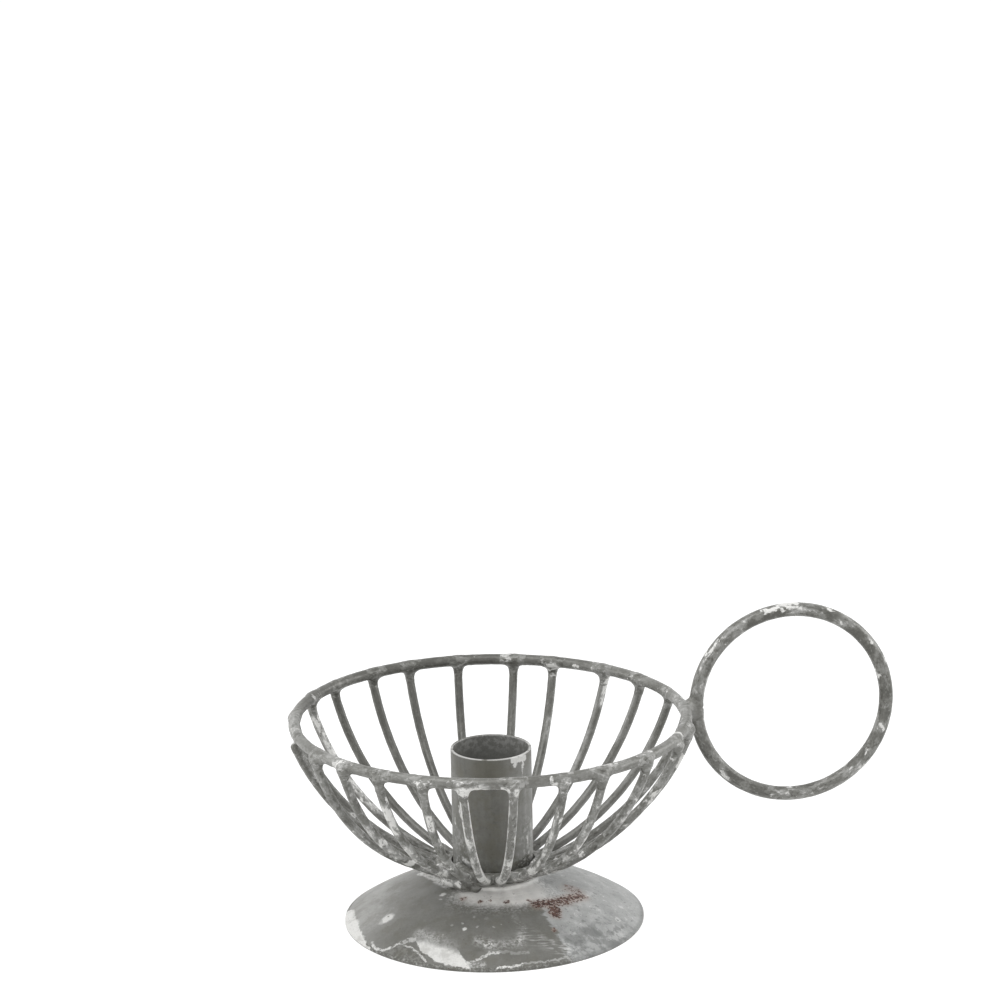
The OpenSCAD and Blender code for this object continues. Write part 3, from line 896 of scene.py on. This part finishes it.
# Pale patches on the wires and welds: where, half lengths along the axes and how much paler
WIRE_PATCHES = (
    ((-58.0, 5.0, 62.0), (3.0, 16.0, 4.0), 0.34),
    ((-49.0, -31.0, 62.0), (5.0, 6.0, 3.0), 0.30),
    ((-44.0, 39.0, 62.0), (5.0, 5.0, 4.0), 0.15),
    ((57.0, -2.0, 61.0), (4.0, 16.0, 4.0), 0.30),
    ((29.5, -49.5, 63.5), (7.0, 3.0, 1.2), 0.30),
    ((-14.6, -58.2, 60.7), (5.0, 2.4, 1.4), 0.55),
    ((-10.6, -58.4, 61.2), (2.6, 2.4, 1.6), 0.45),
    ((-3.6, -60.0, 60.6), (1.4, 2.0, 1.4), 0.60),
    ((-0.2, -60.4, 60.4), (1.0, 2.0, 1.4), 0.60),
    ((25.9, 50.4, 61.0), (3.0, 2.4, 1.2), 0.65),
    ((42.2, 40.6, 57.4), (1.7, 2.2, 4.0), 0.90),
    ((-52.5, 28.5, 56.0), (4.0, 4.0, 4.0), 0.45),
    ((0.7, -56.0, 53.4), (0.9, 1.8, 1.4), 0.90),
    ((-52.8, -7.5, 50.0), (1.4, 1.4, 1.6), 0.45),
    ((-27.3, -22.1, 26.9), (1.8, 1.6, 1.1), 0.90),
    ((-7.2, -31.4, 24.1), (2.2, 2.6, 2.6), 0.60),
    ((-1.1, -26.7, 20.8), (1.6, 2.6, 1.8), 0.50),
    ((6.8, -34.2, 26.3), (2.4, 2.6, 2.0), 0.90),
    ((-15.8, -8.8, 15.0), (2.8, 2.6, 1.6), 0.95),
    ((-12.0, -12.4, 15.8), (1.0, 1.0, 0.9), 0.80),
    ((-13.6, -6.2, 20.4), (1.6, 1.6, 1.4), 0.70),
    ((-17.4, -22.4, 23.6), (3.0, 3.0, 2.4), 0.35),
    ((4.0, -14.6, 18.6), (2.4, 1.6, 0.8), 0.40),
    ((11.3, -7.4, 20.0), (1.3, 1.4, 1.2), 0.60),
    ((9.5, -10.9, 17.5), (1.3, 1.3, 0.9), 0.50),
    ((-8.4, -11.4, 19.5), (2.6, 2.2, 2.0), -0.20),
    ((-10.3, -13.8, 15.6), (2.8, 1.8, 1.6), -0.18),
    ((91.0, 0.0, 91.0), (4.0, 3.0, 1.2), 0.18),
    ((63.0, 0.0, 70.0), (2.6, 3.0, 5.0), 0.14),
    ((106.0, 0.0, 86.3), (4.0, 3.0, 2.4), 0.34),
    ((119.0, 0.0, 74.5), (1.0, 2.0, 2.0), 0.60),
    ((112.0, 0.0, 40.5), (3.0, 3.0, 3.0), 0.34),
    ((88.0, 0.0, 33.0), (9.0, 3.0, 2.2), 0.30),
    ((71.0, 0.0, 40.0), (4.0, 3.0, 4.0), -0.14),
)
# Pale marks on single ribs: from and to along the rib, turn and half width round it, and how much paler
RIB_MARKS = {
    2: ((0.20, 0.45, 250, 60, 0.20),),
    3: ((0.06, 0.30, 300, 50, 0.26),),
    4: ((0.00, 0.16, 205, 30, 0.90), (0.14, 0.60, 300, 50, 0.24)),
    5: ((0.00, 0.04, 270, 110, 0.60), (0.24, 0.36, 220, 40, 0.40)),
    6: ((0.10, 0.40, 220, 40, 0.25),),
    11: ((0.06, 0.60, 270, 100, 0.62), (0.00, 0.05, 240, 90, -0.20)),
    13: ((0.06, 0.16, 80, 40, 0.40), (0.45, 0.80, 60, 80, 0.24)),
    14: ((0.34, 0.70, 60, 70, 0.22),),
    15: ((0.30, 0.62, 60, 70, 0.26),),
    16: ((0.12, 0.31, 55, 60, 0.70), (0.40, 0.85, 60, 60, 0.30)),
    17: ((0.02, 0.14, 165, 22, 0.75), (0.15, 0.25, 60, 45, 0.95), (0.40, 0.92, 80, 50, 0.24)),
    # On ribs 18 and 19 the long pale lines down both sides of the wire are worn paint and painted edge highlight
    # together
    18: (
        (0.00, 1.00, 12, 20, 1.00), (0.00, 0.32, 150, 28, 0.95), (0.70, 1.00, 90, 90, 0.45), (0.25, 0.75, 80, 60, 0.34),
    ),
    19: (
        (0.00, 0.90, 165, 18, 0.80), (0.00, 0.90, 18, 18, 0.70), (0.45, 1.00, 90, 90, 0.36), (0.27, 0.31, 25, 40, 0.90),
    ),
    20: ((0.10, 0.90, 150, 30, 0.40),),
    21: ((0.10, 0.80, 140, 35, 0.30), (0.30, 0.50, 70, 40, 0.30)),
    22: ((0.10, 0.50, 90, 60, 0.24),),
}
# The same on the rim, along it from the handle, and on the ring, along it from its joint at the bottom side
RIM_MARKS = (
    (0.60, 0.74, 170, 28, 0.34), (0.78, 0.90, 160, 25, 0.30), (0.62, 0.70, 60, 40, 0.20), (0.44, 0.56, 60, 70, 0.26),
    (0.90, 0.98, 60, 60, 0.22), (0.10, 0.20, 250, 40, 0.15), (0.30, 0.40, 250, 40, 0.15),
)
RING_MARKS = (
    (0.712, 0.733, 190, 22, 0.60), (0.765, 0.79, 245, 35, 0.14), (0.80, 0.84, 235, 35, 0.18), (0.845, 0.875, 200, 50, 0.14),
    (0.875, 0.93, 200, 60, 0.14), (0.935, 0.965, 115, 30, 0.40), (0.77, 0.79, 150, 40, -0.15), (0.05, 0.20, 100, 40, 0.20),
    (0.28, 0.42, 200, 70, 0.14),
)


def wire_paint(name, base, wear=1.0, straight=True):
    """Mottled wash on the wires and welds, darker at the back left, with pale patches in their places."""
    paint = Paint(name, straight=straight)
    tone, fine = wash(
        paint, base, cloud=0.5 + 0.2 * wear, mottle=0.26 * wear, fleck=0.24 * wear, grain=0.15 + 0.25 * wear,
        pool=0.68 - 0.07 * wear, pits=0.24 * wear,
    )
    nearer = paint.vector("DOT_PRODUCT", paint.place, (0.6, -0.8, 0))
    tone = paint.shift_tone(tone, paint.step(nearer, -55.0, -5.0), 0.24)
    broken = paint.flecks(1.3, 0.34, 0.54, (17, 3, 6), detail=5.0)
    broken = paint.math("MULTIPLY_ADD", broken, 0.75, 0.25)
    pale = paint.add("Attribute", attribute_type="GEOMETRY", attribute_name="pale").outputs["Fac"]
    tone = paint.shift_tone(tone, paint.both(pale, broken), 1.0)
    for centre, size, amount in WIRE_PATCHES:
        patch = paint.spot(centre, size, soft=0.35)
        tone = paint.shift_tone(tone, paint.both(patch, broken), amount)
    relief = paint.math("MULTIPLY_ADD", fine, 1.2, paint.step(tone, 0.4, 0.9))
    rough = paint.math("MULTIPLY_ADD", paint.step(tone, 0.3, 0.8), 0.18, 0.37)
    return paint.finish(paint.colour(tone), relief, rough, bump=0.3, gloss=0.5)


def dress(name, material):
    mesh = nodes[name].data
    mesh.materials.clear()
    mesh.materials.append(material)


def make_camera():
    """The photograph's viewpoint: a long lens, looking down a little and slightly tipped."""
    ahead = Vector((
        math.sin(CAMERA_TURN) * math.cos(CAMERA_PITCH),
        math.cos(CAMERA_TURN) * math.cos(CAMERA_PITCH),
        -math.sin(CAMERA_PITCH),
    ))
    level = Vector((math.cos(CAMERA_TURN), -math.sin(CAMERA_TURN), 0))
    upward = level.cross(ahead)
    right = math.cos(CAMERA_ROLL) * level + math.sin(CAMERA_ROLL) * upward
    up = math.cos(CAMERA_ROLL) * upward - math.sin(CAMERA_ROLL) * level
    camera = bpy.data.objects.new("camera", bpy.data.cameras.new("camera"))
    camera.data.lens = CAMERA_LENS
    camera.data.sensor_width = CAMERA_SENSOR
    axes = Matrix((right, up, -ahead)).transposed()
    camera.matrix_world = Matrix.Translation(CAMERA_PLACE) @ axes.to_4x4()
    bpy.context.scene.collection.objects.link(camera)
    bpy.context.scene.camera = camera


def make_lamps():
    target = (cad_low + cad_high) / 2
    for name, (place, size, power) in LAMPS.items():
        data = bpy.data.lights.new(name, "AREA")
        data.shape = "DISK"
        data.size = size
        data.energy = power
        lamp = bpy.data.objects.new(name, data)
        lamp.location = place
        lamp.rotation_mode = "QUATERNION"
        lamp.rotation_quaternion = (target - Vector(place)).to_track_quat("-Z", "Y")
        bpy.context.scene.collection.objects.link(lamp)


def seen_straight(tree):
    """1 for rays from the camera, for reflections and through glass, 0 for the rest."""
    path = tree.nodes.new("ShaderNodeLightPath")
    total = path.outputs["Is Camera Ray"]
    for kind in ("Is Glossy Ray", "Is Transmission Ray"):
        joined = tree.nodes.new("ShaderNodeMath")
        joined.operation = "MAXIMUM"
        tree.links.new(total, joined.inputs[0])
        tree.links.new(path.outputs[kind], joined.inputs[1])
        total = joined.outputs[0]
    return total


def make_world():
    """A white room that lights the object softly from all sides."""
    world = bpy.data.worlds.new("studio")
    world.use_nodes = True
    tree = world.node_tree
    tree.nodes.clear()
    light = tree.nodes.new("ShaderNodeBackground")
    light.inputs["Strength"].default_value = WORLD_STRENGTH
    white = tree.nodes.new("ShaderNodeBackground")
    white.inputs["Color"].default_value = (1, 1, 1, 1)
    mixed = tree.nodes.new("ShaderNodeMixShader")
    out = tree.nodes.new("ShaderNodeOutputWorld")
    light.inputs["Color"].default_value = (1, 1, 1, 1)
    tree.links.new(seen_straight(tree), mixed.inputs[0])
    tree.links.new(light.outputs[0], mixed.inputs[1])
    tree.links.new(white.outputs[0], mixed.inputs[2])
    tree.links.new(mixed.outputs[0], out.inputs[0])
    bpy.context.scene.world = world


def make_floor():
    """A white floor that keeps a faint shadow, and lets a view from below through."""
    mesh = bpy.data.meshes.new("floor")
    corners = [(x * FLOOR_HALF, y * FLOOR_HALF, 0) for x, y in ((-1, -1), (1, -1), (1, 1), (-1, 1))]
    mesh.from_pydata(corners, [], [(0, 1, 2, 3)])
    floor = bpy.data.objects.new("floor", mesh)
    bpy.context.scene.collection.objects.link(floor)
    material = bpy.data.materials.new("floor")
    material.use_nodes = True
    tree = material.node_tree
    tree.nodes.clear()
    pale = tree.nodes.new("ShaderNodeBsdfDiffuse")
    pale.inputs["Color"].default_value = FLOOR_PALE
    shade = tree.nodes.new("ShaderNodeBsdfDiffuse")
    shade.inputs["Color"].default_value = FLOOR_SHADE
    glow = tree.nodes.new("ShaderNodeEmission")
    glow.inputs["Strength"].default_value = FLOOR_GLOW
    seen = tree.nodes.new("ShaderNodeAddShader")
    mixed = tree.nodes.new("ShaderNodeMixShader")
    clear = tree.nodes.new("ShaderNodeBsdfTransparent")
    side = tree.nodes.new("ShaderNodeNewGeometry")
    below = tree.nodes.new("ShaderNodeMixShader")
    out = tree.nodes.new("ShaderNodeOutputMaterial")
    tree.links.new(shade.outputs[0], seen.inputs[0])
    tree.links.new(glow.outputs[0], seen.inputs[1])
    tree.links.new(seen_straight(tree), mixed.inputs[0])
    tree.links.new(pale.outputs[0], mixed.inputs[1])
    tree.links.new(seen.outputs[0], mixed.inputs[2])
    tree.links.new(side.outputs["Backfacing"], below.inputs[0])
    tree.links.new(mixed.outputs[0], below.inputs[1])
    tree.links.new(clear.outputs[0], below.inputs[2])
    tree.links.new(below.outputs[0], out.inputs[0])
    mesh.materials.append(material)


worn = wire_paint("worn_paint", 0.03, wear=1.25)
smooth = wire_paint("smooth_paint", 0.00, wear=0.55)
ribs = {number: rib_line(number) for number in range(1, RIB_COUNT + 1)}
for number, (line, share, across) in ribs.items():
    shape = sweep(line, RIB_WIRE / 2, across, RIB_SIDES, seed=number)
    pale = wire_marks(share, RIB_SIDES, RIB_MARKS.get(number, ()))
    paint = smooth if 2 <= number <= 10 else worn
    add_piece(f"rib_wire_{number:02d}", shape, paint, "wire_metal", f"rib_{number:02d}", pale=pale)

turns = np.linspace(0, 2 * math.pi, RIM_STEPS, endpoint=False)
rim_line = np.stack([RIM_RADIUS * np.cos(turns), RIM_RADIUS * np.sin(turns), rim_height(turns)], axis=1)
rim = sweep(rim_line, RIM_WIRE / 2, np.array([0, 0, 1]), RING_SIDES, closed=True, seed=31)
pale = wire_marks(turns / (2 * math.pi), RING_SIDES, RIM_MARKS)
add_piece("rim_wire", rim, smooth, "wire_metal", "rim", pale=pale)

gap_half = math.asin(HANDLE_GAP / 2 / HANDLE_RADIUS)
shares = end_steps(HANDLE_STEPS, HANDLE_RADIUS * 2 * (math.pi - gap_half))
turns = math.pi + gap_half + 2 * (math.pi - gap_half) * shares
handle_line = HANDLE_CENTRE + HANDLE_RADIUS * np.stack([np.cos(turns), 0 * turns, np.sin(turns)], axis=1)
handle = sweep(handle_line, HANDLE_WIRE / 2, np.array([0, 1, 0]), RING_SIDES, seed=33)
pale = wire_marks(shares, RING_SIDES, RING_MARKS)
add_piece("ring_wire", handle, wire_paint("ring_paint", -0.13, wear=1.3), "wire_metal", "ring_handle", pale=pale)

joints = [joint_weld(number, line) for number, (line, share, across) in ribs.items()]
add_piece("rim_weld_skin", join(joints), worn, "weld", "rim_welds")
add_piece("rib_foot_skin", rib_foot_weld(ribs.values()), worn, "weld")
add_piece("handle_weld_skin", handle_weld(ribs[1][0]), smooth, "weld", "handle_weld")

foot = foot_paint()
add_piece("collar_weld_skin", collar_weld(), foot, "weld", "foot_weld")
dress("foot", foot)
dress("candle_socket", tube_paint())
dress("hub_cup", wire_paint("cup_paint", 0.08, straight=False))
dress("socket_weld", wire_paint("seat_paint", 0.00, straight=False))

make_camera()
make_lamps()
make_world()
make_floor()

bpy.context.scene.view_settings.view_transform = "Standard"
